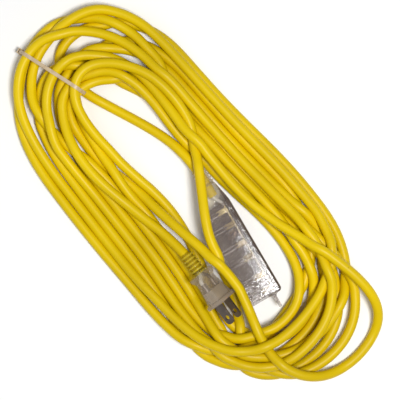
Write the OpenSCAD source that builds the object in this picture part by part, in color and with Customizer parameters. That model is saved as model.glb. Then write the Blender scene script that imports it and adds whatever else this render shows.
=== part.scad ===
// Extension power cord: a yellow jacketed cord in a tied oval hank, with a clear two-blade plug and a clear
// three-outlet block. +X runs along the hank, +Z is up, and the hank and the block stand on z = 0.

/* [Cord] */
// Outside diameter of the jacket
cord_d = 8; // [7:0.1:8.2]
// Thickness of the hank: two layers of cord
hank_h = 16; // [14:0.5:18]
// Width of the hank
hank_w = 164; // [150:1:200]
// Width of the bundle of turns at the tied end
tied_band = 68; // [67:1:90]
// Width of the bundle of turns at the other end
far_band = 56; // [50:1:70]
// Width of the opening in the hank
opening_w = 48; // [47:0.5:60]

/* [Cable tie] */
// Width of the strap
tie_w = 2.6; // [2:0.1:4.8]
// Thickness of the strap
tie_t = 1.2; // [0.8:0.1:1.4]
// Height of the locking head above the strap
tie_head_h = 4; // [3:0.1:6]

/* [Plug] */
// Centre distance of the two blades
blade_pitch = 12.7; // [12:0.1:13.4]
// Width of the neutral blade
neutral_w = 7.9; // [7:0.1:8.4]
// Width of the hot blade
hot_w = 6.3; // [5.6:0.1:6.9]
// Thickness of a blade
blade_t = 1.5; // [1.2:0.1:1.8]
// Length of a blade in front of the plug's face
blade_l = 18; // [15:0.5:21]
// Radius of the hole near a blade's tip
blade_hole_r = 2; // [1.5:0.1:2.2]
// Distance from the plug's face to the hole
blade_hole_x = 12; // [9:0.5:12.5]
// Length of the plug from its face to the end of its strain relief
plug_l = 43; // [40:0.5:52]
// Size of the front flange across the two blades
flange_h = 22; // [20:0.5:26]
// Size of the front flange along a blade's width
flange_w = 16; // [13:0.5:18]
// Thickness of the front flange
flange_t = 3; // [2:0.5:5]

/* [Outlet block] */
// Length of the block's neck, with its shoulders
neck_l = 34; // [33:0.5:37]
// Wall between the carrier and the block's end face
end_wall = 2; // [1.5:0.5:4]
// Depth of the block from its outlet face to its back
block_d = 30; // [28:0.5:31]
// Height of the block
block_h = 22; // [21:0.5:27]
// Centre distance of neighbouring outlets
outlet_pitch = 29.5; // [28:0.5:36]
// Width of an outlet slot across the blade's thickness
slot_t = 2.2; // [1.9:0.1:2.6]
// Thickness of the moulded wall in front of the carrier
front_wall = 3; // [2:0.1:3.5]
// Radius of the hole in the hanging eye
eye_r = 2.5; // [2:0.1:3.5]
// Thickness of the hanging eye
eye_t = 2.6; // [2:0.1:4]

/* [Hidden] */
$fn = 48;

gap = 0.15;         // clearance of a piece in the plastic moulded round it
rest_gap = 0.3;     // clearance of a piece that lies on another
eps = 0.01;         // overshoot of a cut through a face
cord_r = cord_d / 2;

// Opening of the hank: where its tied end and its middle line lie, and its room past the hanging eye
opening_start = -117;
opening_y = 4;
eye_room = 2;

// Cable tie: its middle on the hank, its direction across the bundle, and half its inner length
tie_at = [-147.8, -17.9];
tie_turn = 17;
tie_half = 31.3;
tie_r = tie_t + 1;
tie_z = rest_gap + tie_t;
tie_tail_l = 9;

// Plug: the middle of its face, its heading and its roll about its own axis
plug_at = [80.8, -31.1, 22];
plug_turn = -2.5;
plug_roll = 38;
relief_l = 15;
relief_r = 5.6;
bridge_l = 13;
bridge_h = blade_pitch + 4.3;
bridge_w = neutral_w + 1.5;
waist_h = bridge_h + 3;
waist_w = bridge_w + 2;
wing_h = waist_h + 1.5;
wing_w = waist_w + 0.6;
blade_root = 1;
crimp_l = 7;
crimp_r = 2.2;
core_r = 1.5;
jacket_in_plug = 12;

// Block: where the cord enters its neck, its heading, and its pieces along its own axis
block_at = [-12.9, 21.4, block_h / 2];
block_turn = -9.5;
back_y = 10;
front_y = back_y - block_d;
neck_r = 5.3;
jacket_in_block = 26;
carrier_x = neck_l;
carrier_l = 2 * outlet_pitch + 22;
carrier_h = 17;
block_l = carrier_x + carrier_l + end_wall;
carrier_front = front_y + front_wall + gap;
carrier_back = 5.5;
cover_t = 1.5;
first_outlet = carrier_x + 11.9;
strip_y = 3.4;
strip_t = 0.8;
strip_x = carrier_x + 2.2;
strip_l = carrier_l - 3.2;
chamber = 2.2;
leaf_t = 0.6;
leaf_gap = 0.2;
clip_front = -5;
eye_x = block_l + 5.8;
eye_y = 2.1;
eye_out = 6;
lamp_x = first_outlet + outlet_pitch / 2;
lamp_r = 2.6;
lamp_base = 1.2;
lead_r = 0.4;

// Routes of the stretches that aren't coiled, along the middle of the cord
cord_z = cord_r + rest_gap;
top_z = hank_h + cord_z;
edge_z = block_h + cord_z;

plug_lead_route = [[2, -30, 12.4], [10, -30, 12.4], [20, -29.5, 14.5], [30, -29.2, 18.5]];
block_lead_route = [[-113, -6, cord_z], [-101, -1, cord_z], [-89, 4, cord_z], [-76, 9, cord_z],
                    [-63, 14, cord_z + 0.4], [-50, 18.5, cord_z + 2], [-38, 21.5, cord_z + 4.2]];
crossing_route = [[-77, 44, top_z], [-61, 44, top_z], [-47, 42, top_z], [-35, 38, top_z + 1],
                  [-25, 31, top_z + 2], [-15, 24, top_z + 3], [-5, 17, edge_z], [8, 8, edge_z + 0.5],
                  [21, -1, edge_z + 0.5], [30, -8.5, 24.5], [38, -13, 18], [46, -15, 12], [54, -15.5, 8]];
stray_route = [[-60, -26, top_z], [-45, -26, top_z], [-25, -25, top_z], [-8, -24, top_z], [6, -22, 21.5],
               [22, -19, 24], [37, -16, 26.3], [52, -13, edge_z], [70, -12, edge_z], [87, -15, edge_z],
               [100, -19, 25.5], [116, -25, 22], [131, -29, top_z], [147, -30, top_z], [160, -26, top_z],
               [170, -18, top_z + 0.8], [177, -8, 16.5], [181.5, 4, 10], [183, 17, 5.5], [180.5, 35, cord_z],
               [175, 50, 5.5], [168, 59, 9.5], [158, 64, 15.5], [146, 66, top_z + 0.8], [128, 63, top_z],
               [113, 60, top_z], [98, 56.5, top_z], [81, 50, top_z], [64, 44, top_z], [44, 38.5, top_z],
               [22, 35, top_z]];

// Where a point of a piece's own frame lies in the part
function turned(p, a) = [p[0] * cos(a) - p[1] * sin(a), p[0] * sin(a) + p[1] * cos(a), p[2]];
function on_plug(x) = plug_at + turned([x, 0, 0], plug_turn);
function on_block(x) = block_at + turned([x, 0, 0], block_turn);
function about(c, half) = [c - half, c + half];

// A tube swept along a route: rings of sides points, each square to the route
function unit(v) = v / norm(v);
function heading(p, i) = unit(p[min(i + 1, len(p) - 1)] - p[max(i - 1, 0)]);
function side_of(d) = unit(cross(abs(d[2]) > 0.9 ? [1, 0, 0] : [0, 0, 1], d));
function ring_at(p, i, r, sides) =
    let (d = heading(p, i), u = side_of(d), v = cross(d, u))
    [for (k = [0 : sides - 1]) p[i] + r * (cos(360 * k / sides) * u + sin(360 * k / sides) * v)];

module tube(p, r, sides = 12) {
    n = len(p);
    points = [for (i = [0 : n - 1]) each ring_at(p, i, r, sides)];
    walls = [for (i = [0 : n - 2]) for (k = [0 : sides - 1])
             let (a = i * sides + k, b = i * sides + (k + 1) % sides)
             each [[a, a + sides, b], [b, a + sides, b + sides]]];
    first = [for (k = [0 : sides - 1]) k];
    last = [for (k = [sides - 1 : -1 : 0]) (n - 1) * sides + k];
    polyhedron(points, concat(walls, [first], [last]));
}

module oval(l, w) {
    union() {
        square([l - w, w], center = true);
        for (s = [-1, 1]) translate([s * (l - w) / 2, 0]) circle(d = w);
    }
}

module rounded_rect(size, r) {
    union() {
        square([size[0] - 2 * r, size[1]], center = true);
        square([size[0], size[1] - 2 * r], center = true);
        for (x = [-1, 1], y = [-1, 1]) translate([x * (size[0] / 2 - r), y * (size[1] / 2 - r)]) circle(r);
    }
}

module box(x, y, z) {
    translate([x[0], y[0], z[0]]) cube([x[1] - x[0], y[1] - y[0], z[1] - z[0]]);
}

// A rod along +X from its start
module rod(start, r, l) {
    translate(start) rotate([0, 90, 0]) cylinder(r = r, h = l);
}

module in_plug() {
    translate(plug_at) rotate([0, 0, plug_turn]) rotate([plug_roll, 0, 0]) children();
}

module in_block() {
    translate(block_at) rotate([0, 0, block_turn]) children();
}

module on_tie() {
    translate([tie_at[0], tie_at[1], 0]) rotate([0, 0, tie_turn]) children();
}

// ---- Cord ----

opening_end = on_block(eye_x + eye_out)[0] + eye_room;
opening_l = opening_end - opening_start;
hank_l = opening_l + tied_band + far_band;

// Plug's bay in the upper layer, and the channel that its lead lies in
module plug_bay() {
    translate([plug_at[0], plug_at[1], cord_d]) rotate([0, 0, plug_turn])
        box([-plug_l - 6, blade_l + 4], [-17, 40], [0, hank_h]);
    box([2, 45], [-30 - cord_r - 0.8, 0], [cord_d, hank_h + 1]);
}

// Groove that the cinched strap lies in
module tie_groove() {
    on_tie() difference() {
        box([-tie_half - 8, tie_half + 8], about(0, tie_w / 2 + rest_gap), [-1, hank_h + 1]);
        box(about(0, tie_half - rest_gap), about(0, tie_w), [tie_z + rest_gap, hank_h - rest_gap]);
    }
    on_tie() box([-tie_half - 12, -tie_half + eps], about(0, tie_w + 1.4), [-1, hank_h + 1]);
}

module cord_hank() {
    color("gold") difference() {
        translate([opening_start - tied_band + hank_l / 2, 0, 0]) linear_extrude(hank_h) oval(hank_l, hank_w);
        translate([opening_start + opening_l / 2, opening_y, -1])
            linear_extrude(hank_h + 2) oval(opening_l, opening_w);
        plug_bay();
        tie_groove();
    }
}

module cord_plug_lead() {
    end = [on_plug(-plug_l), on_plug(-plug_l + jacket_in_plug)];
    color("gold") tube(concat(plug_lead_route, end), cord_r);
}

module cord_block_lead() {
    end = [on_block(-10), on_block(0), on_block(jacket_in_block)];
    color("gold") tube(concat(block_lead_route, end), cord_r);
}

module cord_crossing() {
    color("gold") tube(crossing_route, cord_r);
}

module cord_stray_strand() {
    color("gold") tube(stray_route, cord_r);
}

// ---- Cable tie ----

module tie_strap() {
    h = hank_h - tie_z + 2 * tie_t;
    color("tan") on_tie() {
        translate([0, tie_w / 2, rest_gap + h / 2]) rotate([90, 0, 0]) linear_extrude(tie_w) difference() {
            rounded_rect([2 * (tie_half + tie_t), h], tie_r);
            rounded_rect([2 * tie_half, h - 2 * tie_t], tie_r - tie_t);
        }
        box([-tie_half - 2 * tie_t, -tie_half - tie_t + eps], [-tie_w / 2, tie_w / 2], [5, 7 + tie_tail_l]);
    }
}

module tie_head() {
    x = -tie_half - tie_t - gap;
    color("tan") on_tie() difference() {
        box([x - tie_head_h, x], [-tie_w / 2 - 1, tie_w / 2 + 1], [5, 10]);
        box([x - tie_t, x + 1], about(0, tie_w / 2 + gap), [4, 11]);
    }
}

// ---- Plug, in its own frame: face at x = 0, blades along +X, neutral blade on the +Z side ----

module section(x, h, w, r, t = 0.2) {
    translate([x, 0, 0]) rotate([90, 0, 90]) linear_extrude(t) rounded_rect([w, h], r, $fn = 32);
}

module plug_skin() {
    shoulder = -plug_l + relief_l - 7;
    hull() {
        section(shoulder, 11, 11, 4);
        section(shoulder + 5, wing_h, wing_w, 4);
    }
    hull() {
        section(shoulder + 5, wing_h, wing_w, 4);
        section(shoulder + 10, wing_h, wing_w, 4);
    }
    hull() {
        section(shoulder + 10, wing_h, wing_w, 4);
        section(-15, waist_h, waist_w, 2);
    }
    hull() {
        section(-15, waist_h, waist_w, 2);
        section(-flange_t - 0.2, flange_h - 1.5, flange_w - 1.5, 2.5);
    }
    section(-flange_t, flange_h, flange_w, 1.5, flange_t);
    rod([-plug_l, 0, 0], relief_r - 0.5, relief_l);
    for (i = [0 : 3]) rod([-plug_l + 3.2 * i, 0, 0], relief_r, 1.8);
}

module plug_wire(side, r) {
    start = -plug_l + jacket_in_plug + gap;
    end = -bridge_l - crimp_l - gap;
    tube([[start, 0, side * (core_r + gap)], [start + 2, 0, side * (core_r + gap)],
          [start + 5, 0, side * (core_r + 1.2)], [end - 4, 0, side * (blade_pitch / 2 - 0.8)],
          [end - 1.6, 0, side * blade_pitch / 2], [end, 0, side * blade_pitch / 2]], r, 10);
}

module plug_blade(w, side) {
    tip = w / 2 - 0.6;
    translate([0, 0, side * blade_pitch / 2]) difference() {
        union() {
            translate([0, 0, -blade_t / 2]) linear_extrude(blade_t) union() {
                translate([-bridge_l - blade_root, -w / 2])
                    square([bridge_l + blade_root + blade_l - tip, w]);
                translate([blade_l - tip - eps, -w / 2 + tip]) square([tip, w - 2 * tip]);
                for (y = [-1, 1]) translate([blade_l - tip, y * (w / 2 - tip)]) circle(tip);
            }
            rod([-bridge_l - crimp_l, 0, 0], crimp_r, crimp_l - gap);
        }
        translate([blade_hole_x, 0, -5]) cylinder(r = blade_hole_r, h = 10);
    }
}

module plug_body() {
    color("rosybrown", 0.5) in_plug() difference() {
        plug_skin();
        rod([-plug_l - 1, 0, 0], cord_r + gap, jacket_in_plug + 1 + gap);
        for (s = [-1, 1]) {
            plug_wire(s, core_r + gap);
            rod([-bridge_l - crimp_l - 2 * gap, 0, s * blade_pitch / 2], crimp_r + gap, crimp_l + 1);
        }
        box([-bridge_l - blade_root - gap, 1], about(0, bridge_w / 2 + gap),
            about(0, bridge_h / 2 + gap));
    }
}

module plug_bridge() {
    color("whitesmoke") in_plug() difference() {
        box([-bridge_l, 0], about(0, bridge_w / 2), about(0, bridge_h / 2));
        for (s = [[neutral_w, 1], [hot_w, -1]]) translate([0, 0, s[1] * blade_pitch / 2])
            box([-bridge_l - 1, 1], about(0, s[0] / 2 + gap), about(0, blade_t / 2 + gap));
    }
}

module plug_neutral_blade() {
    color("dimgray") in_plug() plug_blade(neutral_w, 1);
}

module plug_hot_blade() {
    color("dimgray") in_plug() plug_blade(hot_w, -1);
}

module plug_neutral_wire() {
    color("white") in_plug() plug_wire(1, core_r);
}

module plug_hot_wire() {
    color("black") in_plug() plug_wire(-1, core_r);
}

// ---- Outlet block, in its own frame: neck's end at x = 0, outlets towards -Y, back towards +Y ----

outlets = [for (i = [0 : 2]) first_outlet + i * outlet_pitch];

// Side 1 is neutral, side -1 is hot
function slot_x(i, side) = outlets[i] - side * blade_pitch / 2;
function slot_h(side) = (side > 0 ? neutral_w : hot_w) + 0.7;

module block_outline() {
    corner = 3;
    polygon([[14, -6.6], [29, -11], [40, -14], [54, front_y + 1.2], [62, front_y],
             [block_l - corner, front_y], [block_l, front_y + corner],
             [block_l, back_y - corner], [block_l - corner, back_y],
             [34, back_y], [26, 8.6], [14, 6.6]]);
}

module block_skin() {
    translate([0, 0, -block_h / 2]) linear_extrude(block_h) block_outline();
    rotate([0, 90, 0]) cylinder(r1 = neck_r, r2 = 6.3, h = 15);
    for (i = [0 : 3]) rod([1.5 + 3.4 * i, 0, 0], neck_r + 0.9 + 0.4 * i, 1.7);
    translate([0, eye_y + eye_t / 2, 0]) rotate([90, 0, 0]) linear_extrude(eye_t) union() {
        translate([block_l - 1, -eye_out]) square([eye_x - block_l + 1, 2 * eye_out]);
        translate([eye_x, 0]) circle(eye_out);
    }
}

module slots(y) {
    for (i = [0 : 2], side = [-1, 1])
        box(about(slot_x(i, side), slot_t / 2), y, about(0, slot_h(side) / 2));
}

module block_wire(side, r) {
    start = jacket_in_block + gap;
    tube([[start, 0, side * (core_r + gap)], [start + 1, 0, side * (core_r + gap)],
          [start + 3, 1, side * 2.4], [start + 6, 3, side * 3.6],
          [carrier_x + 0.5, 3.8, side * 4], [strip_x - gap, 3.8, side * 4]], r, 10);
}

module block_body() {
    color("rosybrown", 0.5) in_block() difference() {
        block_skin();
        box([carrier_x - gap, carrier_x + carrier_l + gap],
            [carrier_front - gap, carrier_back + cover_t + gap], about(0, carrier_h / 2 + gap));
        slots([front_y - 1, carrier_front + 1]);
        rod([-1, 0, 0], cord_r + gap, jacket_in_block + 1 + gap);
        for (side = [-1, 1]) block_wire(side, core_r + gap);
        translate([eye_x, eye_y + eye_t, 0]) rotate([90, 0, 0]) cylinder(r = eye_r, h = 2 * eye_t);
    }
}

module outlet_carrier() {
    color("lightgray", 0.6) in_block() difference() {
        box([carrier_x, carrier_x + carrier_l], [carrier_front, carrier_back], about(0, carrier_h / 2));
        slots([carrier_front - 1, clip_front]);
        for (i = [0 : 2], side = [-1, 1])
            box(about(slot_x(i, side), chamber), [clip_front - 0.5, carrier_back + 1], [-7, 7]);
        box([strip_x - gap, strip_x + strip_l + gap], [strip_y - 0.6, carrier_back + 1], [-7, 7]);
        box([lamp_x - 5, lamp_x + 4.4], [-8, carrier_back + 1], [-6.2, 6.2]);
        for (side = [-1, 1]) block_wire(side, core_r + gap);
    }
}

module carrier_cover() {
    color("lightgray", 0.6) in_block()
        box([carrier_x, carrier_x + carrier_l], [carrier_back, carrier_back + cover_t],
            about(0, carrier_h / 2));
}

// A stamped strip with a pair of gripping leaves behind each of its slots
module strip(side) {
    z = side > 0 ? [1.4, 6.6] : [-6.6, -1.4];
    leaf_z = side > 0 ? [-0.8, 6.6] : [-6.6, 0.8];
    box([strip_x, strip_x + strip_l], [strip_y, strip_y + strip_t], z);
    for (i = [0 : 2], s = [-1, 1]) {
        x = slot_x(i, side) + s * (blade_t / 2 + leaf_gap + leaf_t / 2);
        box([x - leaf_t / 2, x + leaf_t / 2], [clip_front, strip_y + eps], leaf_z);
    }
}

module neutral_strip() {
    color("goldenrod") in_block() strip(1);
}

module hot_strip() {
    color("goldenrod") in_block() strip(-1);
}

module block_neutral_wire() {
    color("white") in_block() block_wire(1, core_r);
}

module block_hot_wire() {
    color("black") in_block() block_wire(-1, core_r);
}

module indicator_lamp() {
    color("orange", 0.6) in_block() translate([lamp_x, lamp_base, 0]) rotate([90, 0, 0]) {
        cylinder(r = lamp_r, h = 5.6);
        translate([0, 0, 5.6]) sphere(lamp_r);
    }
}

module lamp_resistor() {
    color("steelblue") in_block() translate([lamp_x - 3.6, lamp_base, -4]) rotate([90, 0, 0])
        cylinder(r = 1.1, h = 5);
}

// Neutral lead to the lamp, hot lead to the resistor, and the lead from the resistor to the lamp
module lamp_leads() {
    color("silver") in_block() {
        tube([[lamp_x + 0.8, strip_y, 4], [lamp_x + 0.8, strip_y - 0.6, 4],
              [lamp_x + 0.8, lamp_base + 0.8, 1.5], [lamp_x + 0.8, lamp_base + 0.4, 1.3],
              [lamp_x + 0.8, lamp_base, 1.3]], lead_r, 8);
        tube([[lamp_x - 3.6, strip_y, -4], [lamp_x - 3.6, lamp_base, -4]], lead_r, 8);
        tube([[lamp_x - 3.6, lamp_base - 5, -4], [lamp_x - 3.4, lamp_base - 6.2, -4.2],
              [lamp_x - 0.4, -3.6, -4.8], [lamp_x + 0.8, lamp_base + 0.6, -4],
              [lamp_x + 0.8, lamp_base + 0.8, -1.5], [lamp_x + 0.8, lamp_base + 0.4, -1.3],
              [lamp_x + 0.8, lamp_base, -1.3]], lead_r, 8);
    }
}

cord_hank();
cord_plug_lead();
cord_block_lead();
cord_crossing();
cord_stray_strand();
tie_strap();
tie_head();
plug_body();
plug_bridge();
plug_neutral_blade();
plug_hot_blade();
plug_neutral_wire();
plug_hot_wire();
block_body();
outlet_carrier();
carrier_cover();
neutral_strip();
hot_strip();
block_neutral_wire();
block_hot_wire();
indicator_lamp();
lamp_resistor();
lamp_leads();
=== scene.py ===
import bpy
import bmesh
import math
import numpy as np
from mathutils import Vector, Matrix


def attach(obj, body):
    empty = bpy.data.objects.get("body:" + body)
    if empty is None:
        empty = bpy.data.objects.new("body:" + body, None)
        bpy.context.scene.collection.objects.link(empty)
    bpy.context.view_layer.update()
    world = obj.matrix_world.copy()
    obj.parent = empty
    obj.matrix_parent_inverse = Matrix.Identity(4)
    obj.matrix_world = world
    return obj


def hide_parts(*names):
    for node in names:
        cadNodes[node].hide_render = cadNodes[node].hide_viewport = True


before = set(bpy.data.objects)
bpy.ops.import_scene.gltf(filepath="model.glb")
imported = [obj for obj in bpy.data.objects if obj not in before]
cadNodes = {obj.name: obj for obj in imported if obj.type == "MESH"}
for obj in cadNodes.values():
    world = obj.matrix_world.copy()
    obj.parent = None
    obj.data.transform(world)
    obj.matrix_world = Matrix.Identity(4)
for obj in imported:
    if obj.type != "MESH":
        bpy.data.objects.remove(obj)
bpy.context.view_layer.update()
mm = 0.001
print("frame loaded:", len(cadNodes), "CAD nodes")


def nothingSelected():
    if bpy.context.object and bpy.context.object.mode != "OBJECT":
        bpy.ops.object.mode_set(mode="OBJECT")
    bpy.ops.object.select_all(action="DESELECT")


nothingSelected()

# ---- camera: straight above the hank, turned so that its tied end is at the upper left ----

camera = {"aim": (7.6, 7.3), "height": 1300, "turn": 50, "sensor": 36, "sees": 320, "seenAt": 12, "far": 20}

bpy.ops.object.camera_add(location=[v * mm for v in (*camera["aim"], camera["height"])],
                          rotation=(0, 0, math.radians(camera["turn"])))
viewCamera = bpy.context.object
viewCamera.data.sensor_width = camera["sensor"]
viewCamera.data.lens = camera["sensor"] * (camera["height"] - camera["seenAt"]) / camera["sees"]
viewCamera.data.clip_end = camera["far"]
bpy.context.scene.camera = viewCamera


# ---- places on the plug, the block and the tie, in millimetres along their own axes ----

plug = {"at": (80.8, -31.1, 22), "turn": -2.5, "roll": 38}
block = {"at": (-12.9, 21.4, 11), "turn": -9.5}
tie = {"middle": (-147.8, -17.9), "turn": 17, "reach": 42, "width": 2.9, "thick": 1.2, "slack": 0.12,
       "toothPitch": 1.2, "tooth": 0.22, "tail": 13, "tailSteps": 10,
       "lift": 1.5, "liftReach": 14, "liftHalf": 46}

plugMatrix = (Matrix.Translation(plug["at"]) @ Matrix.Rotation(math.radians(plug["turn"]), 4, "Z")
              @ Matrix.Rotation(math.radians(plug["roll"]), 4, "X"))
blockMatrix = Matrix.Translation(block["at"]) @ Matrix.Rotation(math.radians(block["turn"]), 4, "Z")


def onPlug(x):
    return list(plugMatrix @ Vector((x, 0, 0)))


def onBlock(x):
    return list(blockMatrix @ Vector((x, 0, 0)))


def acrossTie(points):
    # how far along the tie's line and how far in front of it each point lies
    turn = math.radians(tie["turn"])
    x, y = points[:, 0] - tie["middle"][0], points[:, 1] - tie["middle"][1]
    return x * math.cos(turn) + y * math.sin(turn), y * math.cos(turn) - x * math.sin(turn)


# ---- the cord: lanes of the hank, then it settles under its own weight ----

cord = {"diameter": 8.0, "step": 5.0, "length": 7.6, "floor": 4.1, "lane": 4.3, "tightest": 32}
# How the strands settle: sink and recall for both halves of the steps, unbend before and in the last steps
settle = {"steps": 520, "lastSteps": 60, "rounds": 3, "heldFirst": 5, "heldLast": 8,
          "ease": (3, 4), "unbendRoute": 0.25, "routeSteps": 150,
          "sort": 6, "nearby": 11.5, "alongApart": 5, "gap": 0.1, "push": 0.375, "furthest": 1.5,
          "sink": (0.22, 0.12), "recall": (0.03, 0.012), "unbend": (0.3, 0.12),
          "spread": {2: 0.35, 6: 0.20}, "tug": 0.25}

# Inner and outer edge of the bundle, counterclockwise from above, and the zone of each station
bundleEdges = [
    ((-92, -22), (-88, -80)), ((-60, -20), (-60, -81)), ((-25, -20), (-25, -82)), ((10, -20), (10, -82)),
    ((45, -20), (45, -82)), ((78, -21), (80, -86)), ((100, -20), (114, -86)),
    ((111, -16), (150, -69)), ((116, -8), (172, -40)), ((117, 2), (175, -3)),
    ((115, 10), (174, 22)), ((108, 19), (160, 52)), ((98, 26), (138, 72)),
    ((80, 31), (99, 84)), ((50, 33), (58, 82)), ((20, 29), (20, 79)),
    ((-12, 27), (-12, 76)), ((-45, 26), (-45, 74)), ((-75, 26), (-79, 73)),
    ((-93, 23), (-115, 72)), ((-105, 13), (-151, 63)), ((-114, 3), (-175, 39)),
    ((-118, -9), (-187, 3)), ((-116, -16), (-180, -28)), ((-108, -21), (-153, -60)),
    ((-100, -22), (-119, -75))]
zoneOf = [0] * 4 + [1] * 3 + [2] * 6 + [3] * 6 + [4] * 3 + [5] * 4
lanesIn = [8, 8, 7, 6, 7, 7.5]
# Each turn: its lane in every zone, 0 at the inner edge, and how high it starts there
plugTurns = [((3, 9, 1, 0, 1.2, 1), (7, 7, 5, 4, 5, 6)), ((3, 4, 3, 3, 3, 2), 2), ((5, 6.2, 5, 1, 0.2, 4), 3),
             ((1, 2, 0, 4, 4, 0.2), 1), ((7, 7, 6, 2, 5, 5.6), 4)]
innerTurn = ((0, 1, 2, 1.4, 0.8, 0.8), (1, 0, 1, 5, 5, 2))
blockTurns = [((4, 5, 3.5, 0.6, 2, 3), 8), ((6, 5.6, 1.5, 2.6, 3.3, 6.4), 9), ((2, 3, 4, 4.4, 5.6, 5), 5)]
outerBackLane = 5
rankRise = 3.6
laneBlend = np.array([1, 2, 2.5, 2, 1]) / 8.5

# Stretches that aren't coiled, as in the part's source
plugLead = [onPlug(-31), onPlug(-37), onPlug(-43), (30, -29.2, 18.5), (20, -29.8, 15.5), (10, -30.8, 13),
            (0, -32.5, 12.4), (-12, -35, 12.4)]
crossing = [(95, -25, 4.3), (75, -21, 4.3), (62, -18, 5), (54, -16, 8), (46, -15, 12), (38, -12.5, 18),
            (30, -7, 24.5), (21, 0, 26.8), (9, 8, 26.8), (-3, 16, 26.8), (-14, 24, 27), (-25, 31, 28),
            (-35, 37, 29), (-47, 41.5, 30), (-61, 44, 32), (-77, 44, 34)]
innerArch = [(-91, 42, 34), (-104, 36, 34), (-117, 27.5, 34), (-128, 17.5, 34), (-135, 6, 34),
             (-135, -7, 34), (-128, -17, 34), (-118, -22, 34), (-107, -24.5, 33), (-95, -25.5, 32),
             (-81, -26, 30), (-65, -25.5, 28), (-48.7, -23.7, 25), (-36, -21.2, 22), (-24.2, -18.4, 18),
             (-12, -16.2, 14), (0, -15.6, 10), (12, -16.8, 7), (27, -20, 4.3), (43, -23, 4.3)]
strayStrand = [(-112, -24, 5), (-100, -29, 4.5), (-85, -30.5, 4.3), (-70, -31, 4.3), (-58, -31, 4.3),
               (-46, -30, 5), (-30, -28, 8), (-15, -25.9, 12), (0, -23.4, 17), (10.7, -21.4, 21),
               (24, -18.5, 24.5), (38, -15, 26.4), (52, -13, 26.4), (70, -12, 26.4), (87, -15, 26.4),
               (100, -19, 27), (116, -25, 30), (131, -29, 33), (147, -30, 35), (160, -26, 35),
               (171, -18, 32), (180, -8, 20), (185.5, 4, 12), (187, 18, 4.3), (184.5, 36, 4.3),
               (178.5, 52, 12), (170, 62, 22), (158, 64, 30), (146, 66, 36), (128, 63, 38), (113, 60, 38),
               (98, 56.5, 38), (81, 50, 36), (64, 44, 34), (44, 38.5, 34), (22, 35, 34)]
blockLead = [(-112, 70, 4.3), (-134, 62, 4.3), (-151, 51, 4.3), (-162, 32, 4.3), (-164, 8, 4.3),
             (-156, -8, 4.3), (-140, -13, 4.3), (-126, -10, 4.3), (-113, -6, 4.3), (-101, -1, 4.3),
             (-89, 4, 4.3), (-76, 9, 4.3), (-63, 14, 4.7), (-50, 18.5, 6.3), (-38, 21.5, 8.5),
             onBlock(-10), onBlock(0), onBlock(13), onBlock(26)]


def laneSpot(station, share, rank):
    inner, outer = (np.array(edge, float) for edge in bundleEdges[station])
    width = np.linalg.norm(outer - inner)
    x, y = inner + (outer - inner) / width * (cord["diameter"] / 2 + share * (width - cord["diameter"]))
    return (x, y, cord["lane"] + rankRise * rank)


def windTurns(visits):
    # lanes and heights change over some five stations, so that strands cross at a small angle
    shares, ranks = [], []
    for station, (lanes, rank) in visits:
        zone = zoneOf[station]
        shares.append(lanes[zone] / (lanesIn[zone] - 1))
        ranks.append(rank[zone] if isinstance(rank, tuple) else rank)
    shares, ranks = (np.convolve([v[0]] * 2 + v + [v[-1]] * 2, laneBlend, "valid") for v in (shares, ranks))
    return [laneSpot(visit[0], share, rank) for visit, share, rank in zip(visits, shares, ranks)]


def hankRoute():
    fromPlug = []
    for count, turn in enumerate(plugTurns):
        stations = ([1, 0] if count == 0 else [6, 5, 4, 3, 2, 1, 0]) + list(range(25, 6, -1))
        fromPlug += [(station, turn) for station in stations]
    fromPlug.append((6, ((0,) * 6, 0)))
    innerRing = [(station, innerTurn) for station in range(5, 25)]
    toBlock = []
    for count, turn in enumerate(blockTurns):
        stations = list(range(16 if count == 0 else 13, 26)) + list(range(13))
        toBlock += [(station, turn) for station in stations]
    toBlock += [(station, ((outerBackLane,) * 6, 0)) for station in range(13, 19)]
    return np.array(plugLead + windTurns(fromPlug) + crossing + innerArch + windTurns(innerRing) + strayStrand
                    + windTurns(toBlock) + blockLead, float)


def evenSteps(route, step):
    padded = np.vstack([2 * route[0] - route[1], route, 2 * route[-1] - route[-2]])
    fine = []
    for i in range(1, len(padded) - 2):
        a, b, c, d = padded[i - 1:i + 3]
        for t in np.linspace(0, 1, 12, endpoint=False):
            fine.append(0.5 * (2 * b + (c - a) * t + (2 * a - 5 * b + 4 * c - d) * t * t
                               + (3 * b - a - 3 * c + d) * t ** 3))
    fine = np.array(fine + [padded[-2]])
    along = np.r_[0, np.cumsum(np.linalg.norm(np.diff(fine, axis=0), axis=1))]
    count = int(round(along[-1] / step))
    places = np.linspace(0, along[-1], count + 1)
    return np.stack([np.interp(places, along, fine[:, k]) for k in range(3)], 1)


# Half widths and heights that the strands keep clear, at places along each piece
blockRoom = {"along": (-2, 121), "clearAbove": 4.15, "clearBeside": 4.1, "liftedFrom": 15,
             "top": ([0, 14, 29, 117], [16.8, 18.2, 22, 22]),
             "low": ([0, 14, 29, 40, 54, 62, 117], [-5.5, -6.6, -11, -14, -18.8, -20, -20]),
             "high": ([0, 14, 26, 34, 117], [5.5, 6.6, 8.6, 10, 10])}
plugRoom = {"along": (-48, 36), "top": 34, "underFrom": 12, "underTo": 20,
            "beside": ([-48, -40, -28, 0, 8, 22, 36], [9.4, 10, 16.5, 17.3, 14.5, 11, 0])}


def seenAlong(p, place):
    # each point's x and y along a piece's own axes, from above, and the piece's cosine and sine
    turn = math.radians(place["turn"])
    c, s = math.cos(turn), math.sin(turn)
    x = (p[:, 0] - place["at"][0]) * c + (p[:, 1] - place["at"][1]) * s
    y = (p[:, 1] - place["at"][1]) * c - (p[:, 0] - place["at"][0]) * s
    return x, y, c, s


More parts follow.
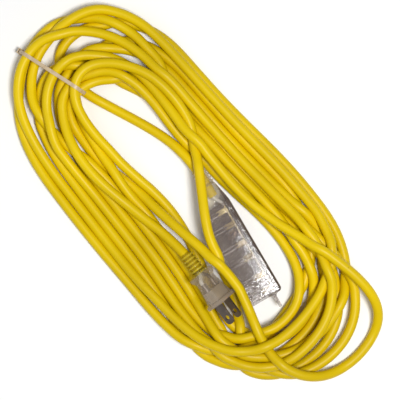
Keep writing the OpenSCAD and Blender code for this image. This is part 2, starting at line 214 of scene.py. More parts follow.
def keepOffBlock(p, free):
    x, y, c, s = seenAlong(p, block)
    top = np.interp(x, *blockRoom["top"]) + blockRoom["clearAbove"]
    low = np.interp(x, *blockRoom["low"]) - blockRoom["clearBeside"]
    high = np.interp(x, *blockRoom["high"]) + blockRoom["clearBeside"]
    first, last = blockRoom["along"]
    inside = (x > first) & (x < last) & (y > low) & (y < high) & (p[:, 2] < top) & free
    lifted = inside & (p[:, 2] > blockRoom["liftedFrom"])
    p[lifted, 2] = top[lifted]
    aside = np.where(inside & ~lifted, np.where(y - low < high - y, low, high) - y, 0) * 0.5
    p[:, 0] -= s * aside
    p[:, 1] += c * aside


def keepOffPlug(p, free):
    x, y = seenAlong(p, plug)[:2]
    room = np.interp(x, *plugRoom["beside"])
    first, last = plugRoom["along"]
    near = (x > first) & (x < last) & (np.abs(y) < room) & (p[:, 2] < plugRoom["top"]) & free
    under = near & (p[:, 2] < plugRoom["underFrom"]) & (x < plugRoom["underTo"])
    beside = near & (p[:, 2] >= plugRoom["underFrom"])
    p[under, 2] = np.minimum(p[under, 2], cord["lane"])
    p[beside, 1] += np.where(y[beside] > 0, 0.5, -0.5) * (room - np.abs(y))[beside]


def floorUnder(p):
    # the tied strands lie on the strap
    along, ahead = acrossTie(p)
    lift = tie["lift"] * np.exp(-(ahead / tie["liftReach"]) ** 2)
    return cord["floor"] + lift * (np.abs(along) < tie["liftHalf"])


def eased(values, reach):
    # a running mean that leaves both ends where they are
    padded = np.vstack([2 * values[0] - values[reach:0:-1], values,
                        2 * values[-1] - values[-2:-reach - 2:-1]])
    sums = np.cumsum(np.vstack([np.zeros(values.shape[1]), padded]), axis=0)
    return (sums[2 * reach + 1:] - sums[:-2 * reach - 1]) / (2 * reach + 1)


def limitBend(p, held, share):
    # over six, four and two steps the cord's bow stays under what its tightest fold allows
    for reach in (3, 2, 1):
        limit = (2 * reach * cord["step"]) ** 2 / (8 * cord["tightest"])
        toChord = (p[:-2 * reach] + p[2 * reach:]) / 2 - p[reach:-reach]
        bow = np.linalg.norm(toChord, axis=1, keepdims=True) + 1e-9
        excess = toChord * np.maximum(1 - limit / bow, 0) * share
        move = np.zeros_like(p)
        move[reach:-reach] += excess
        move[:-2 * reach] -= 0.5 * excess
        move[2 * reach:] -= 0.5 * excess
        move[held] = 0
        p += move


def touching(p):
    # pairs of points that lie near each other but not along the same stretch
    square = (p * p).sum(1)
    apart = square[:, None] + square[None, :] - 2 * p @ p.T
    return np.nonzero(np.triu(apart < settle["nearby"] ** 2, settle["alongApart"]))


def keepLength(p, rest, held):
    gap = p[1:] - p[:-1]
    size = np.linalg.norm(gap, axis=1, keepdims=True)
    tug = settle["tug"] * (size - rest) / size * gap
    move = np.zeros_like(p)
    move[:-1] += tug
    move[1:] -= tug
    move[held] = 0
    p += move


def pushApart(p, i, j, held):
    gap = p[j] - p[i]
    size = np.linalg.norm(gap, axis=1) + 1e-9
    over = cord["diameter"] + settle["gap"] - size
    hit = over > 0
    push = (settle["push"] * over[hit] / size[hit])[:, None] * gap[hit]
    move = np.stack([np.bincount(j[hit], push[:, k], len(p)) - np.bincount(i[hit], push[:, k], len(p))
                     for k in range(3)], 1)
    move[held] = 0
    move *= np.minimum(1, settle["furthest"] / np.maximum(np.linalg.norm(move, axis=1, keepdims=True), 1e-9))
    p += move


def settleCord(route):
    for reach in settle["ease"]:
        route = eased(route, reach)
    held = np.zeros(len(route), bool)
    held[:settle["heldFirst"]] = True
    held[-settle["heldLast"]:] = True
    free = ~held
    for _ in range(settle["routeSteps"]):
        limitBend(route, held, settle["unbendRoute"])
    p = route.copy()
    rest = np.linalg.norm(np.diff(p, axis=0), axis=1)[:, None]
    for step in range(settle["steps"]):
        if step % settle["sort"] == 0:
            i, j = touching(p)
        late = int(step > settle["steps"] * 0.5)
        p[free, 2] -= settle["sink"][late]
        # a stiff cord: it keeps the route's own bends and spreads what pushes it aside
        shift = p - route
        shift = sum(share * (eased(shift, reach) - shift) for reach, share in settle["spread"].items())
        shift[held] = 0
        p += shift
        p[free, :2] += settle["recall"][late] * (route[free, :2] - p[free, :2])
        for _ in range(settle["rounds"]):
            keepLength(p, rest, held)
            pushApart(p, i, j, held)
            limitBend(p, held, settle["unbend"][step >= settle["steps"] - settle["lastSteps"]])
            p[free, 2] = np.maximum(p[free, 2], floorUnder(p)[free])
            keepOffBlock(p, free)
            keepOffPlug(p, free)
    return p


def layCord():
    line = settleCord(evenSteps(hankRoute(), cord["step"]))
    curve = bpy.data.curves.new("mainsCord", "CURVE")
    curve.dimensions = "3D"
    curve.bevel_depth = 1
    curve.bevel_resolution = 5
    curve.resolution_u = 2
    spline = curve.splines.new("NURBS")
    spline.points.add(len(line) - 1)
    spline.points.foreach_set("co", np.c_[line * mm, np.ones(len(line))].ravel())
    spline.points.foreach_set("radius", np.full(len(line), cord["diameter"] / 2 * mm))
    spline.order_u = 4
    spline.use_endpoint_u = True
    spline.use_smooth = True
    piece = bpy.data.objects.new("mainsCord", curve)
    bpy.context.scene.collection.objects.link(piece)
    length = np.linalg.norm(np.diff(line, axis=0), axis=1).sum() * mm
    print("cord laid:", len(line), "points,", round(length, 3), "m")
    return piece, line


mainsCord, cordLine = layCord()
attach(mainsCord, "root")
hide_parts("cord_hank", "cord_plug_lead", "cord_block_lead", "cord_crossing", "cord_stray_strand")


# ---- shaping helpers ----

smoothBelow = math.radians(35)


def onlySelected(piece):
    nothingSelected()
    piece.select_set(True)
    bpy.context.view_layer.objects.active = piece


def putAt(piece, *moves):
    # from the piece's own axes, in millimetres, to its place, which goes into the mesh
    whole = Matrix.Scale(mm, 4)
    for move in moves:
        whole = whole @ move
    piece.matrix_world = whole @ Matrix.Scale(1 / mm, 4)
    bpy.ops.object.transform_apply(location=True, rotation=True, scale=True)


def goOn(x, y, z):
    # extrudes the selected face by a step in millimetres
    bpy.ops.mesh.extrude_region_move(TRANSFORM_OT_translate={"value": (x * mm, y * mm, z * mm)})


def pick(piece, wanted, edges=False):
    # selects the faces or edges whose middle, in millimetres, and direction pass
    bpy.ops.mesh.select_mode(type="EDGE" if edges else "FACE")
    bpy.ops.mesh.select_all(action="DESELECT")
    shape = bmesh.from_edit_mesh(piece.data)
    for part in (shape.edges if edges else shape.faces):
        if edges:
            first, last = (v.co / mm for v in part.verts)
            part.select_set(bool(wanted((first + last) / 2, (last - first).normalized())))
        else:
            part.select_set(bool(wanted(part.calc_center_median() / mm, part.normal)))
    shape.select_flush_mode()
    bmesh.update_edit_mesh(piece.data)


def startPiece(name, kind, place, **more):
    # a primitive at its size and place, ready in edit mode
    nothingSelected()
    getattr(bpy.ops.mesh, "primitive_" + kind + "_add")(location=[v * mm for v in place], **more)
    piece = bpy.context.object
    piece.name = name
    piece.data.name = name
    bpy.ops.object.transform_apply(location=True, rotation=True, scale=True)
    bpy.ops.object.mode_set(mode="EDIT")
    return piece


def startBox(name, x, y, z):
    middle = [(v[0] + v[1]) / 2 for v in (x, y, z)]
    return startPiece(name, "cube", middle, size=1, scale=[(v[1] - v[0]) * mm for v in (x, y, z)])


def startRod(name, start, end, radius, sides=32):
    return startPiece(name, "cylinder", ((start + end) / 2, 0, 0), vertices=sides, radius=radius * mm,
                      depth=(end - start) * mm, rotation=(0, math.pi / 2, 0))


def drawOut(sections):
    # the selected end goes on through sections: x, lowest y, highest y, half height
    x, low, high, half = sections[0]
    for nextX, nextLow, nextHigh, nextHalf in sections[1:]:
        middle = (nextLow + nextHigh) / 2
        goOn(nextX - x, middle - (low + high) / 2, 0)
        bpy.ops.transform.resize(value=(1, (nextHigh - nextLow) / (high - low), nextHalf / half),
                                 center_override=(nextX * mm, middle * mm, 0))
        x, low, high, half = nextX, nextLow, nextHigh, nextHalf


def finishPiece(piece, bevel=0, segments=2, matrix=None, sharp=35):
    # soft edges, smooth shading, and the piece's place put into its mesh
    bpy.ops.mesh.select_all(action="SELECT")
    bpy.ops.mesh.normals_make_consistent(inside=False)
    bpy.ops.object.mode_set(mode="OBJECT")
    if bevel:
        soft = piece.modifiers.new("softEdges", "BEVEL")
        soft.width, soft.segments, soft.limit_method = bevel * mm, segments, "ANGLE"
        soft.angle_limit = math.radians(sharp)
        bpy.ops.object.modifier_apply(modifier="softEdges")
    if matrix is not None:
        putAt(piece, matrix)
    bpy.ops.object.shade_smooth_by_angle(angle=smoothBelow)
    return piece


def joined(name, *pieces):
    nothingSelected()
    for piece in pieces:
        piece.select_set(True)
    bpy.context.view_layer.objects.active = pieces[0]
    bpy.ops.object.join()
    pieces[0].name = name
    return pieces[0]


def ribbed(name, ribs):
    # a round sleeve that thickens from start to end, with ribs that stand proud of it
    start, end, begun, slope = ribs["start"], ribs["end"], 0.6, 0.25
    radius = lambda x: float(np.interp(x, [start, end], [ribs["thin"], ribs["thick"]]))
    piece = startRod(name, start, start + begun, radius(start))
    pick(piece, lambda at, normal: normal.x > 0.9)
    sections = [(start + begun, radius(start))]
    x = start + ribs["first"]
    for _ in range(ribs["count"]):
        low, high = radius(x), radius(x) + ribs["proud"]
        sections += [(x, low), (x + slope, high), (x + ribs["width"], high), (x + ribs["width"] + slope, low)]
        x += ribs["pitch"]
    sections.append((end, radius(end)))
    drawOut([(place, -size, size, size) for place, size in sections])
    return piece


# ---- plug: hourglass moulding with wings, flange and ribbed relief ----

# profile: place along the plug, half width and half height
plugShape = {"profile": [(-30, 4.7, 5.4), (-28.9, 5.5, 9.8), (-28, 5.8, 11.7), (-25.6, 5.8, 11.6),
                         (-24, 5.0, 10.1), (-22, 4.5, 9.0), (-19, 4.7, 9.0), (-15, 5.3, 9.4),
                         (-10, 6.0, 9.9), (-6, 6.8, 10.4), (-3.2, 7.3, 10.8)],
             "begun": (-26, -25.6), "rounding": 2.6,
             "forward": [-25.6, -24.8, -24, -23, -22, -20.5, -19, -17, -15, -12.5, -10, -8, -6, -4.5, -3.2],
             "backward": [-28, -28.4, -28.9, -29.5, -30],
             "flange": {"back": -3.6, "step": -3.0, "neck": (7.3, 10.4), "rim": (8, 11), "edge": 0.5},
             "relief": {"start": -47.5, "end": -28.5, "thin": 4.5, "thick": 5.3, "first": 1.0, "count": 5,
                        "pitch": 3.3, "width": 1.5, "proud": 0.95}}


def makePlugMoulding():
    profile = np.array(plugShape["profile"])
    shape = lambda x: tuple(float(np.interp(x, profile[:, 0], profile[:, k])) for k in (1, 2))
    section = lambda x: (x, -shape(x)[0], shape(x)[0], shape(x)[1])
    first, last = plugShape["begun"]
    width, half = shape(last)
    body = startBox("plugMoulding", (first, last), (-width, width), (-half, half))
    pick(body, lambda middle, way: abs(way.x) > 0.9, edges=True)
    bpy.ops.mesh.bevel(offset=plugShape["rounding"] * mm, segments=5)
    pick(body, lambda at, normal: normal.x > 0.9)
    drawOut([section(x) for x in plugShape["forward"]])
    pick(body, lambda at, normal: normal.x < -0.9 and at.x < first + 0.2)
    drawOut([(first, -width, width, half)] + [section(x) for x in plugShape["backward"]])
    finishPiece(body, matrix=plugMatrix)
    rim = plugShape["flange"]
    (width, half), (wide, tall) = rim["neck"], rim["rim"]
    flange = startBox("plugFlange", (rim["back"], rim["step"]), (-width, width), (-half, half))
    pick(flange, lambda at, normal: normal.x > 0.9)
    drawOut([(rim["step"], -width, width, half), (rim["step"] + 0.05, -wide, wide, tall),
             (0, -wide, wide, tall)])
    finishPiece(flange, rim["edge"], 3, plugMatrix)
    relief = ribbed("plugRelief", plugShape["relief"])
    finishPiece(relief, matrix=plugMatrix)
    return joined("plugMoulding", body, flange, relief)


plugMoulding = makePlugMoulding()
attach(plugMoulding, "root")
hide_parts("plug_body")
print("plug moulding made")


# ---- block: clear moulding round the carrier, ribbed neck and hanging eye ----

# taper: place along the block, front, back and half height, from the first outlet to the neck
blockShape = {"end": 117, "front": -20, "back": 10, "half": 11, "corner": 3.2, "edge": 1.9,
              "taper": [(62, -20, 10, 11), (58, -19.6, 10, 11), (54, -18.5, 10, 11), (47, -16, 10, 11),
                        (40, -13.8, 10, 11), (34, -12.2, 9.9, 11), (29, -10.9, 9.2, 10.9),
                        (24, -9.3, 8.2, 9.6), (19, -7.7, 7.2, 8), (14.5, -6.4, 6.3, 6.6)],
              "cavity": ((33.85, 115.15), (-17, 7.15), (-8.65, 8.65)),
              "outlets": (45.9, 75.4, 104.9), "slotPitch": 12.7, "slot": 2.2, "slotTall": {1: 8.6, -1: 7.0},
              "slotDepth": 3.5,
              "eyeRoot": [(117, -2.2, 6.4, 6.6), (117.7, -0.4, 4.8, 6.2), (118.6, 0.5, 3.7, 5.9),
                          (120.2, 0.9, 3.3, 5.6)],
              "neck": {"start": 0, "end": 16.5, "thin": 5.0, "thick": 6.4, "first": 0.8, "count": 5, "pitch": 3.0,
                       "width": 1.4, "proud": 0.7},
              "eye": {"at": 122.8, "y": 2.1, "radius": 6, "hole": 2.5, "thick": 2.6}}


def cutAway(piece, cutter):
    onlySelected(piece)
    cut = piece.modifiers.new("cut", "BOOLEAN")
    cut.operation, cut.object, cut.solver = "DIFFERENCE", cutter, "EXACT"
    bpy.ops.object.modifier_apply(modifier="cut")
    bpy.data.objects.remove(cutter)


def slotPlaces():
    # both slots of each outlet: place along the block, and 1 for the upper one
    return [(outlet - side * blockShape["slotPitch"] / 2, side)
            for outlet in blockShape["outlets"] for side in (1, -1)]


def makeEye():
    eye = blockShape["eye"]
    ring = startPiece("eyeRing", "cylinder", (eye["at"], eye["y"], 0), vertices=40, radius=eye["radius"] * mm,
                      depth=eye["thick"] * mm, rotation=(math.pi / 2, 0, 0))
    pick(ring, lambda at, normal: abs(normal.y) > 0.9)
    bpy.ops.mesh.inset(thickness=(eye["radius"] - eye["hole"]) * mm)
    bpy.ops.mesh.bridge_edge_loops()
    finishPiece(ring, 0.4, matrix=blockMatrix)
    end, low, high, half = blockShape["eyeRoot"][0]
    root = startBox("eyeRoot", (end - 0.4, end), (low, high), (-half, half))
    pick(root, lambda at, normal: normal.x > 0.9)
    drawOut(blockShape["eyeRoot"])
    finishPiece(root, 0.3, matrix=blockMatrix)
    return ring, root


def makeBlockMoulding():
    front, back, half, end = (blockShape[k] for k in ("front", "back", "half", "end"))
    body = startBox("blockMoulding", (blockShape["taper"][0][0], end), (front, back), (-half, half))
    pick(body, lambda at, normal: normal.x < -0.9)
    drawOut(blockShape["taper"])
    pick(body, lambda middle, way: abs(way.z) > 0.9 and middle.x > end - 0.1, edges=True)
    bpy.ops.mesh.bevel(offset=blockShape["corner"] * mm, segments=4)
    finishPiece(body, blockShape["edge"], 4, sharp=40)
    openings = [("carrierRoom", *blockShape["cavity"])]
    for x, side in slotPlaces():
        wide, tall = blockShape["slot"] / 2, blockShape["slotTall"][side] / 2
        openings.append(("slotOpening", (x - wide, x + wide), (front - 1, front + blockShape["slotDepth"]),
                         (-tall, tall)))
    for opening in openings:
        cutAway(body, startBox(*opening))
    putAt(body, blockMatrix)
    bpy.ops.object.shade_smooth_by_angle(angle=smoothBelow)
    neck = ribbed("neckRibs", blockShape["neck"])
    finishPiece(neck, matrix=blockMatrix)
    return joined("blockMoulding", body, neck, *makeEye())


blockMoulding = makeBlockMoulding()
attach(blockMoulding, "root")
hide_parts("block_body")
print("block moulding made")


# ---- slot clips: folded brass behind each slot ----

clip = {"half": 2.1, "leg": 0.35, "y": (-3.2, 4.6), "top": 6.9, "deep": 5.2, "legFrom": 0.66, "cuts": 5,
        "lip": (0.3, 1.2), "edge": 0.12}


def makeClip():
    # web, two legs and lips turned in at the slot's mouth
    half, top, legFrom = clip["half"], clip["top"], clip["half"] * clip["legFrom"]
    piece = startBox("slotClip", (-half, half), clip["y"], (top - clip["leg"], top))
    pick(piece, lambda middle, way: abs(way.x) > 0.9, edges=True)
    bpy.ops.mesh.subdivide(number_cuts=clip["cuts"])
    for side in (1, -1):
        pick(piece, lambda at, normal: normal.z < -0.9 and at.x * side > legFrom)
        goOn(0, 0, -clip["deep"])
        pick(piece, lambda at, normal: normal.y < -0.9 and at.x * side > legFrom and at.z < top - 1)
        goOn(side * -clip["lip"][0], -clip["lip"][1], 0)
    finishPiece(piece, clip["edge"])
    return piece


firstClip = makeClip()
slotClips = []
for number, (x, side) in enumerate(slotPlaces()):
    copied = firstClip.copy()
    copied.data = firstClip.data.copy()
    copied.name = "slotClip" + str(number + 1)
    bpy.context.scene.collection.objects.link(copied)
    onlySelected(copied)
    turnOver = Matrix.Rotation(0 if side > 0 else math.pi, 4, "Y")
    putAt(copied, blockMatrix, Matrix.Translation((x, 0, 0)), turnOver)
    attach(copied, "root")
    slotClips.append(copied)
bpy.data.objects.remove(firstClip)
print("slot clips made:", len(slotClips))


# ---- cable tie: pulled taut round the strands where they pass through it ----

def tieOutline():
    # the hull of the strands where they cross the tie's line, in even steps of 1 mm, and its girth
    along, ahead = acrossTie(cordLine)
    at = np.nonzero((ahead[:-1] * ahead[1:] < 0) & (np.abs(along[:-1]) < tie["reach"]))[0]
    share = ahead[at] / (ahead[at] - ahead[at + 1])
    u = along[at] + share * (along[at + 1] - along[at])
    z = cordLine[at, 2] + share * (cordLine[at + 1, 2] - cordLine[at, 2])
    slant = np.abs(ahead[at + 1] - ahead[at]) / np.linalg.norm(cordLine[at + 1] - cordLine[at], axis=1)
    off = cord["diameter"] / 2 + tie["thick"] / 2 + tie["slack"]
    angles = np.linspace(0, 2 * math.pi, 48, endpoint=False)
    dots = sorted((u[k] + off * math.cos(a) / max(slant[k], 0.6), z[k] + off * math.sin(a))
                  for k in range(len(at)) for a in angles)
    wrap = []
    for points in (dots, dots[::-1]):
        side = []
        for point in points:
            while len(side) > 1 and ((side[-1][0] - side[-2][0]) * (point[1] - side[-2][1])
                                     - (side[-1][1] - side[-2][1]) * (point[0] - side[-2][0])) <= 0:
                side.pop()
            side.append(point)
        wrap += side[:-1]
    wrap = np.array(wrap + wrap[:1])
    reach = np.r_[0, np.cumsum(np.linalg.norm(np.diff(wrap, axis=0), axis=1))]
    places = np.linspace(0, reach[-1], int(reach[-1]) + 1)[:-1]
    return np.stack([np.interp(places, reach, wrap[:, k]) for k in (0, 1)], 1), reach[-1]


tieMatrix = (Matrix.Translation((*tie["middle"], 0)) @ Matrix.Rotation(math.radians(tie["turn"]), 4, "Z")
             @ Matrix.Rotation(math.pi / 2, 4, "X"))


def makeTieBand():
    wrap, girth = tieOutline()
    print("tie girth:", round(girth, 1), "mm")
    curve = bpy.data.curves.new("tiePath", "CURVE")
    curve.dimensions = "2D"
    line = curve.splines.new("POLY")
    line.points.add(len(wrap) - 1)
    line.points.foreach_set("co", np.c_[wrap * mm, np.zeros(len(wrap)), np.ones(len(wrap))].ravel())
    line.use_cyclic_u = True
    path = bpy.data.objects.new("tiePath", curve)
    bpy.context.scene.collection.objects.link(path)
    teeth = int(girth / tie["toothPitch"])
    width, thick = tie["width"] / 2, tie["thick"] / 2
    band = startBox("tieBand", (0, girth), (-thick, thick), (-width, width))
    pick(band, lambda middle, way: abs(way.x) > 0.9, edges=True)
    bpy.ops.mesh.subdivide(number_cuts=2 * teeth - 1)
    pitch = girth / teeth
    pick(band, lambda at, normal: normal.y < -0.9 and (at.x / pitch) % 1 < 0.5)
    goOn(0, -tie["tooth"], 0)
    bpy.ops.object.mode_set(mode="OBJECT")
    bend = band.modifiers.new("roundBundle", "CURVE")
    bend.object, bend.deform_axis = path, "POS_X"
    bpy.ops.object.modifier_apply(modifier="roundBundle")
    bpy.data.objects.remove(path)
    bpy.ops.object.mode_set(mode="EDIT")
    finishPiece(band, matrix=tieMatrix)
    return band, wrap


head = {"fromBand": 2.4, "half": (2.1, 2.6), "pastBand": 0.9, "rim": 0.8, "sunk": 1.6, "edge": 0.4,
        "tailHalf": 0.5, "tailFrom": (-2.9, 1), "lean": 8, "tailEdge": 0.15}


def makeTieHead(wrap):
    # the head sits at the outer side, and the cut tail comes out of it
    outer = wrap[np.argmin(wrap[:, 0])]
    u, z = float(outer[0]) - head["fromBand"], float(outer[1])
    along, tall = head["half"]
    width = tie["width"] / 2 + head["pastBand"]
    lock = startBox("tieHead", (u - along, u + along), (z - tall, z + tall), (-width, width))
    pick(lock, lambda at, normal: normal.y > 0.9)
    bpy.ops.mesh.inset(thickness=head["rim"] * mm)
    goOn(0, -head["sunk"], 0)
    finishPiece(lock, head["edge"], 3, tieMatrix)
    low, high = head["tailFrom"]
    tail = startBox("tieTail", (u - head["tailHalf"], u + head["tailHalf"]), (z + low, z + high),
                    (-tie["width"] / 2, tie["width"] / 2))
    pick(tail, lambda at, normal: normal.y > 0.9)
    reach = tie["tail"] / tie["tailSteps"]
    for step in range(tie["tailSteps"]):
        lean = math.radians(head["lean"] * step)
        goOn(math.sin(lean) * reach, math.cos(lean) * reach, 0)
    finishPiece(tail, head["tailEdge"], matrix=tieMatrix)
    return joined("tieHead", lock, tail)


tieBand, tieWrap = makeTieBand()
tieHead = makeTieHead(tieWrap)
for piece, node in ((tieBand, "tie_strap"), (tieHead, "tie_head")):
    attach(piece, "root")
    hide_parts(node)
print("cable tie made")


# ---- shader sums: a socket that can be added, taken away and multiplied ----

class Shade:
    def __init__(self, tree, socket=None):
        self.tree, self.socket = tree, socket

    def feed(self, made, **sockets):
        # i0, i1 and so on name a socket by its number, other names by its label
        for name, value in sockets.items():
            numbered = name[0] == "i" and name[1:].isdigit()
            target = made.inputs[int(name[1:]) if numbered else name.replace("_", " ")]
            if isinstance(value, Shade):
                self.tree.links.new(value.socket, target)
            else:
                target.default_value = value

    def node(self, kind, settings=None, **sockets):
        made = self.tree.nodes.new("ShaderNode" + kind)
        for name, value in (settings or {}).items():
            setattr(made, name, value)
        self.feed(made, **sockets)
        return made

    def out(self, made, name=0):
        return Shade(self.tree, made.outputs[name])

    def sum(self, operation, first, second):
        return self.out(self.node("Math", {"operation": operation}, i0=first, i1=second))

    def size(self):
        return self.out(self.node("Math", {"operation": "ABSOLUTE"}, i0=self))

    def fromNearest(self, period):
        # distance from the nearest whole number of periods
        half = period / 2
        return self.out(self.node("Math", {"operation": "WRAP"}, i0=self, i1=half, i2=-half)).size()

    def __add__(self, other):
        return self.sum("ADD", self, other)

    def __radd__(self, other):
        return self.sum("ADD", other, self)

    def __sub__(self, other):
        return self.sum("SUBTRACT", self, other)

    def __rsub__(self, other):
        return self.sum("SUBTRACT", other, self)

    def __mul__(self, other):
        return self.sum("MULTIPLY", self, other)

    def __rmul__(self, other):
        return self.sum("MULTIPLY", other, self)


def newFinish(name):
    finish = bpy.data.materials.new(name)
    finish.use_nodes = True
    tree = finish.node_tree
    tree.nodes.clear()
    shade = Shade(tree)
    surface = shade.node("BsdfPrincipled")
    output = shade.node("OutputMaterial")
    tree.links.new(surface.outputs[0], output.inputs[0])
    return finish, shade, surface


def spots(shade, place, scale, detail=2, rough=0.5):
    return shade.out(shade.node("TexNoise", None, Vector=place, Scale=scale, Detail=detail, Roughness=rough))


def mixed(shade, share, first, second):
    return shade.out(shade.node("Mix", {"data_type": "RGBA"}, i0=share, i6=first, i7=second), 2)


def between(shade, value, low, high, toLow=0.0, toHigh=1.0):
    return shade.out(shade.node("MapRange", None, Value=value, From_Min=low, From_Max=high,
                                To_Min=toLow, To_Max=toHigh))


def bumped(shade, height, strength, distance):
    return shade.out(shade.node("Bump", None, Height=height, Strength=strength, Distance=distance))


def objectPlace(shade):
    return shade.out(shade.node("TexCoord"), "Object")


# ---- finishes ----

def jacketFinish():
    finish, shade, surface = newFinish("yellowJacket")
    place = objectPlace(shade)
    cloud = spots(shade, place, 9, 3)
    grime = spots(shade, place, 60, 5, 0.65)
    ripple = spots(shade, place, 420, 2)
    tone = mixed(shade, between(shade, cloud, 0.35, 0.7), (0.78, 0.56, 0.0003, 1), (0.60, 0.42, 0.0003, 1))
    tone = mixed(shade, between(shade, grime, 0.62, 0.85, 0, 0.22), tone, (0.42, 0.26, 0.02, 1))
    scuff = between(shade, spots(shade, place, 190, 3, 0.7), 0.72, 0.78)
    tone = mixed(shade, scuff * 0.55, tone, (0.12, 0.08, 0.02, 1))
    shade.feed(surface, Base_Color=tone, Roughness=between(shade, grime, 0.3, 0.75, 0.38, 0.50),
               Normal=bumped(shade, ripple + 0.6 * cloud, 0.12, 0.0006), IOR=1.36, Specular_IOR_Level=0.32,
               Coat_Weight=0.05, Coat_Roughness=0.25)
    return finish


def ownPlace(shade, at, turn, roll=0):
    # x, y and z along the plug's or the block's own axes, in millimetres
    made = shade.node("Mapping", {"vector_type": "TEXTURE"}, Vector=objectPlace(shade),
                      Location=[v * mm for v in at], Rotation=(math.radians(roll), 0, math.radians(turn)))
    split = shade.node("SeparateXYZ", None, Vector=shade.out(made))
    return [shade.out(split, axis) * 1000 for axis in ("X", "Y", "Z")]


def nearSlot(shade, x):
    # distance from the middle of the nearest blade slot
    period = blockShape["outlets"][1] - blockShape["outlets"][0]
    return shade.sum("MINIMUM", *((x - place).fromNearest(period) for place, side in slotPlaces()[:2]))


def blockMouldingFinish():
    finish, shade, surface = newFinish("clearBlockMoulding")
    x, y, z = ownPlace(shade, block["at"], block["turn"])
    place = objectPlace(shade)
    haze = spots(shade, place, 45, 4, 0.6)
    pits = spots(shade, place, 420, 3)
    # painted shade: a darker, more opaque band along the back edge stands in for the darkening that refraction
    # through the bevelled edge gives
    rim = between(shade, y, 6.2, 7.0)
    neck = between(shade, x + 0.5 * y, 30.5, 29.0)
    # painted highlight: the far end is made whiter, standing in for the key light's reflection there
    paintedEndHighlight = between(shade, x, 100.0, 101.5) * (1.0 - rim)
    drawn = shade.out(shade.node("CombineXYZ", None, X=x * 0.5, Y=y * 0.07, Z=z * 0.5))
    flow = spots(shade, drawn, 1.6, 4, 0.6)
    # milky haze that flows at random along the block, plus the painted highlight at the far end
    milkAndEndHighlight = between(shade, flow + 0.07 * paintedEndHighlight, 0.55, 0.66) * (0.45 + 0.55 * paintedEndHighlight) * (1.0 - rim)
    weave = shade.sum("PINGPONG", x + y, 0.55) + shade.sum("PINGPONG", x - y, 0.55)
    tone = mixed(shade, between(shade, haze, 0.35, 0.7), (0.42, 0.35, 0.315, 1), (0.30, 0.24, 0.215, 1))
    tone = mixed(shade, neck, tone, (0.72, 0.64, 0.48, 1))
    # the painted shade along the back edge
    tone = mixed(shade, rim, tone, (0.21, 0.155, 0.13, 1))
    # milky white, in random streaks and as the painted highlight at the far end
    tone = mixed(shade, milkAndEndHighlight, tone, (0.97, 0.94, 0.93, 1))
    cover = 0.36 + 0.14 * between(shade, haze, 0.4, 0.7) + 0.48 * rim + 0.40 * milkAndEndHighlight
    shade.feed(surface, Base_Color=tone, Roughness=between(shade, haze, 0.35, 0.7, 0.04, 0.12),
               Transmission_Weight=0.62, IOR=1.46, Alpha=cover,
               Normal=bumped(shade, pits + haze * 2 + neck * weave * 3, 0.22, 0.0005))
    return finish


def plugMouldingFinish():
    finish, shade, surface = newFinish("clearPlugMoulding")
    x = ownPlace(shade, plug["at"], plug["turn"], plug["roll"])[0]
    place = objectPlace(shade)
    haze = spots(shade, place, 70, 4, 0.6)
    pits = spots(shade, place, 420, 3)
    relief = between(shade, x, -28.0, -29.5)
    flange = between(shade, x, -3.4, -3.0)
    tone = mixed(shade, between(shade, haze, 0.35, 0.7), (0.62, 0.52, 0.40, 1), (0.48, 0.39, 0.28, 1))
    ribs = plugShape["relief"]
    ribMiddle = ribs["start"] + ribs["first"] + ribs["width"] / 2
    # painted shade: the grooves between the relief's ribs are painted dark
    paintedGrooveShade = between(shade, (x - ribMiddle).fromNearest(ribs["pitch"]), 0.55, 1.0)
    tone = mixed(shade, relief, tone, mixed(shade, paintedGrooveShade, (0.84, 0.70, 0.06, 1), (0.36, 0.26, 0.01, 1)))
    tone = mixed(shade, flange, tone, (0.58, 0.48, 0.38, 1))
    cover = 0.50 + 0.14 * between(shade, haze, 0.4, 0.7) + 0.16 * flange + 0.12 * relief
    shade.feed(surface, Base_Color=tone, Roughness=between(shade, haze, 0.35, 0.7, 0.05, 0.16),
               Transmission_Weight=0.5, IOR=1.46, Alpha=cover,
               Normal=bumped(shade, pits + haze * 2, 0.2, 0.0004))
    return finish


def carrierFinish():
    finish, shade, surface = newFinish("clearCarrier")
    x, y = ownPlace(shade, block["at"], block["turn"])[:2]
    haze = spots(shade, objectPlace(shade), 60, 4, 0.6)
    wall = between(shade, (nearSlot(shade, x) - 1.5).size(), 0.75, 0.35)
    frost = wall * between(shade, y, -4.0, -6.0) * between(shade, haze, 0.32, 0.5)
    # painted highlight: whiter patches at the carrier's far end stand in for the key light's reflection there
    paintedCarrierEndHighlight = between(shade, x, 100.5, 102.0)
    cloud = between(shade, haze, 0.45, 0.6) * paintedCarrierEndHighlight
    tone = mixed(shade, between(shade, haze, 0.4, 0.7), (0.50, 0.43, 0.40, 1), (0.34, 0.28, 0.25, 1))
    # white for the frosted tunnel walls and for the painted highlight at the far end
    tone = mixed(shade, shade.sum("MAXIMUM", frost, cloud), tone, (1.0, 0.99, 0.98, 1))
    shade.feed(surface, Base_Color=tone, Roughness=between(shade, haze, 0.35, 0.7, 0.05, 0.16),
               Transmission_Weight=0.55, IOR=1.5, Alpha=0.30 + 0.66 * frost + 0.4 * cloud)
    return finish


def insertFinish():
    finish, shade, surface = newFinish("plugInsert")
    place = objectPlace(shade)
    haze = spots(shade, place, 60, 3)
    tone = mixed(shade, between(shade, haze, 0.4, 0.7), (0.72, 0.62, 0.50, 1), (0.55, 0.46, 0.36, 1))
    shade.feed(surface, Base_Color=tone, Roughness=between(shade, haze, 0.35, 0.7, 0.25, 0.4),
               Transmission_Weight=0.5, IOR=1.5)
    return finish


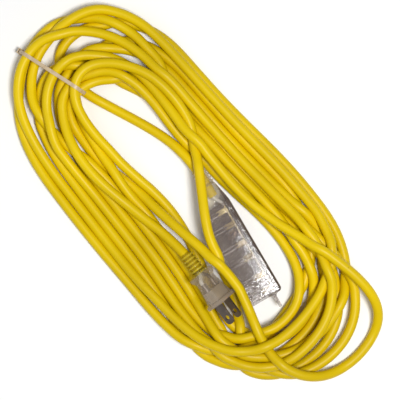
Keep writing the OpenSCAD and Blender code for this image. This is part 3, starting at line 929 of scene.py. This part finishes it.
def bladeFinish():
    finish, shade, surface = newFinish("dullBlade")
    place = objectPlace(shade)
    scuff = spots(shade, place, 160, 6, 0.7)
    patch = spots(shade, place, 45, 3)
    tone = mixed(shade, between(shade, patch, 0.4, 0.65), (0.30, 0.26, 0.24, 1), (0.20, 0.165, 0.15, 1))
    tone = mixed(shade, between(shade, scuff, 0.55, 0.75, 0, 0.5), tone, (0.55, 0.50, 0.46, 1))
    shade.feed(surface, Base_Color=tone, Metallic=0.9, Roughness=between(shade, scuff, 0.3, 0.7, 0.32, 0.5),
               Normal=bumped(shade, scuff, 0.2, 0.0002))
    return finish


def brassFinish():
    finish, shade, surface = newFinish("contactBrass")
    place = objectPlace(shade)
    stain = spots(shade, place, 90, 4, 0.6)
    tone = mixed(shade, between(shade, stain, 0.4, 0.7), (0.98, 0.86, 0.42, 1), (0.82, 0.66, 0.28, 1))
    shade.feed(surface, Base_Color=tone, Metallic=0.85, Roughness=between(shade, stain, 0.3, 0.7, 0.34, 0.50))
    return finish


def plainFinish(name, light, dark, scale, smooth, metal=0.0, clear=0.0):
    finish, shade, surface = newFinish(name)
    stain = spots(shade, objectPlace(shade), scale, 4, 0.6)
    tone = mixed(shade, between(shade, stain, 0.35, 0.7), (*light, 1), (*dark, 1))
    shade.feed(surface, Base_Color=tone, Roughness=between(shade, stain, 0.3, 0.7, smooth, smooth + 0.12),
               Metallic=metal, Transmission_Weight=clear)
    return finish


def coat(piece, finish):
    piece.data.materials.clear()
    piece.data.materials.append(finish)


def coatNodes(finish, *names):
    for name in names:
        for slot in cadNodes[name].material_slots:
            slot.material = finish


coat(mainsCord, jacketFinish())
coatNodes(carrierFinish(), "outlet_carrier", "carrier_cover")
coat(plugMoulding, plugMouldingFinish())
coat(blockMoulding, blockMouldingFinish())
coatNodes(insertFinish(), "plug_bridge")
coatNodes(bladeFinish(), "plug_neutral_blade", "plug_hot_blade")
contactBrass = brassFinish()
coatNodes(contactBrass, "neutral_strip", "hot_strip")
for piece in slotClips:
    coat(piece, contactBrass)
coatNodes(plainFinish("whiteInsulation", (0.85, 0.84, 0.80), (0.74, 0.72, 0.66), 120, 0.4),
          "plug_neutral_wire", "block_neutral_wire")
coatNodes(plainFinish("blackInsulation", (0.035, 0.034, 0.033), (0.018, 0.018, 0.018), 120, 0.35),
          "plug_hot_wire", "block_hot_wire")
coatNodes(plainFinish("lampGlass", (1.0, 0.86, 0.72), (0.9, 0.7, 0.55), 200, 0.05, 0, 0.95), "indicator_lamp")
coatNodes(plainFinish("resistorCoat", (0.60, 0.48, 0.32), (0.48, 0.37, 0.24), 300, 0.45), "lamp_resistor")
coatNodes(plainFinish("tinnedWire", (0.75, 0.75, 0.74), (0.5, 0.5, 0.49), 300, 0.25, 1.0), "lamp_leads")
tieNylon = plainFinish("tieNylon", (0.70, 0.55, 0.36), (0.55, 0.41, 0.25), 250, 0.38, 0, 0.15)
coat(tieBand, tieNylon)
coat(tieHead, tieNylon)
print("finishes made")


# ---- floor and light ----

studio = {"floor": 2.4, "sky": 0.22,
          "key": {"place": (0.38, 0.16, 1.5), "aim": (0.05, 0, 0), "size": 0.4, "power": 21},
          "fill": {"place": (-0.7, -0.5, 1.0), "aim": (0, 0, 0), "size": 0.9, "power": 2.5}}

nothingSelected()
bpy.ops.mesh.primitive_plane_add(size=studio["floor"], location=(0, 0, 0))
paleFloor = bpy.context.object
paleFloor.name = "paleFloor"
coat(paleFloor, plainFinish("paleFloorFinish", (0.93, 0.93, 0.925), (0.91, 0.91, 0.905), 3, 0.6))


def softLight(name, place, aim, size, power):
    bpy.ops.object.light_add(type="AREA", location=place)
    lamp = bpy.context.object
    lamp.name = name
    lamp.data.shape = "RECTANGLE"
    lamp.data.size, lamp.data.size_y = size, size
    lamp.data.energy = power
    lamp.rotation_euler = (Vector(aim) - Vector(place)).to_track_quat("-Z", "Y").to_euler()


softLight("keyLight", **studio["key"])
softLight("fillLight", **studio["fill"])

sky = bpy.data.worlds.new("studioSky")
sky.use_nodes = True
background = sky.node_tree.nodes["Background"]
background.inputs[0].default_value = (1.0, 1.0, 1.0, 1)
background.inputs[1].default_value = studio["sky"]
bpy.context.scene.world = sky
bpy.context.scene.view_settings.view_transform = "Standard"
print("floor and light set")
